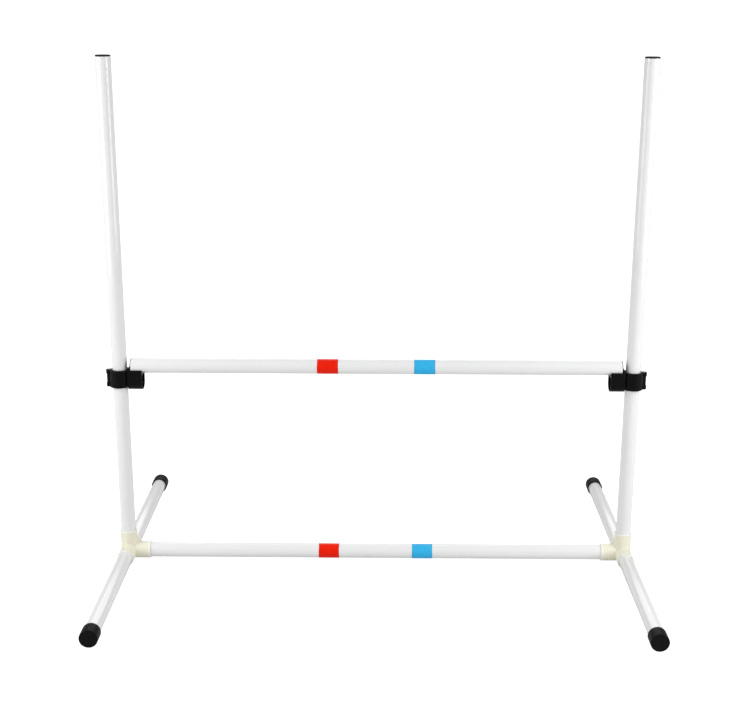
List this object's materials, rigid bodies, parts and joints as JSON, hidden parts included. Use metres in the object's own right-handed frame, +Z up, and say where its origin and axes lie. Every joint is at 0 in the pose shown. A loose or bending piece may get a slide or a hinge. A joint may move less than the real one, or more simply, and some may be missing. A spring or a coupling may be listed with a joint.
{
  "type": "agility hurdle",
  "caption": "Free-standing dog agility hurdle: push-fit pipe frame on capped feet, with a lift-off jump bar resting in height-adjustable, lever-locked jump cups.",
  "frame": {"origin": "on the floor, midway between the two uprights' axes and midway between the front and rear feet", "axes": "+X along the jump bar towards the right upright, +Y from the front feet to the rear feet (the way a dog runs through), +Z up"},
  "size_m": [0.9226, 0.652, 0.8734],
  "materials": {
    "white_pvc": "glossy white extruded PVC pipe",
    "ivory_pvc": "semi-gloss ivory moulded PVC",
    "black_cap": "satin black moulded cap and plug plastic",
    "black_nylon": "semi-gloss black moulded nylon",
    "red_tape": "glossy red vinyl tape",
    "blue_tape": "glossy sky-blue vinyl tape",
    "pin_steel": "plain steel dowel"
  },
  "bodies": {
    "frame": {"corner_fitting_left": "ivory_pvc", "corner_fitting_right": "ivory_pvc", "bottom_rail": "white_pvc", "rail_band_red": "red_tape", "rail_band_blue": "blue_tape", "foot_pipe_front_left": "white_pvc", "foot_pipe_front_right": "white_pvc", "foot_pipe_rear_left": "white_pvc", "foot_pipe_rear_right": "white_pvc", "foot_cap_front_left": "black_cap", "foot_cap_front_right": "black_cap", "foot_cap_rear_left": "black_cap", "foot_cap_rear_right": "black_cap", "upright_left": "white_pvc", "upright_right": "white_pvc", "upright_plug_left": "black_cap", "upright_plug_right": "black_cap"},
    "clamp_left": {"jump_cup_left": "black_nylon", "lever_pin_left": "pin_steel"},
    "clamp_right": {"jump_cup_right": "black_nylon", "lever_pin_right": "pin_steel"},
    "lever_left": {"cam_lever_left": "black_nylon"},
    "lever_right": {"cam_lever_right": "black_nylon"},
    "bar": {"jump_bar": "white_pvc", "bar_band_red": "red_tape", "bar_band_blue": "blue_tape", "bar_plug_left": "black_cap", "bar_plug_right": "black_cap"}
  },
  "joints": [
    {"name": "clamp_left_height", "type": "slide", "parent": "frame", "child": "clamp_left", "axis": [0, 0, 1], "range_m": [-0.26, 0.51]},
    {"name": "clamp_right_height", "type": "slide", "parent": "frame", "child": "clamp_right", "axis": [0, 0, 1], "range_m": [-0.26, 0.51]},
    {"name": "lever_left_swing", "type": "hinge", "parent": "clamp_left", "child": "lever_left", "pos_m": [-0.4564, -0.002, 0.3352], "axis": [0, 0, 1], "range_deg": [-135, 0]},
    {"name": "lever_right_swing", "type": "hinge", "parent": "clamp_right", "child": "lever_right", "pos_m": [0.4564, -0.002, 0.3352], "axis": [0, 0, 1], "range_deg": [0, 135]},
    {"name": "bar_lift", "type": "slide", "parent": "clamp_left", "child": "bar", "axis": [0, 0, 1], "range_m": [0, 0.56]}
  ],
  "couplings": [
    {"joint": "clamp_right_height", "follows": "clamp_left_height", "ratio": 1}
  ]
}
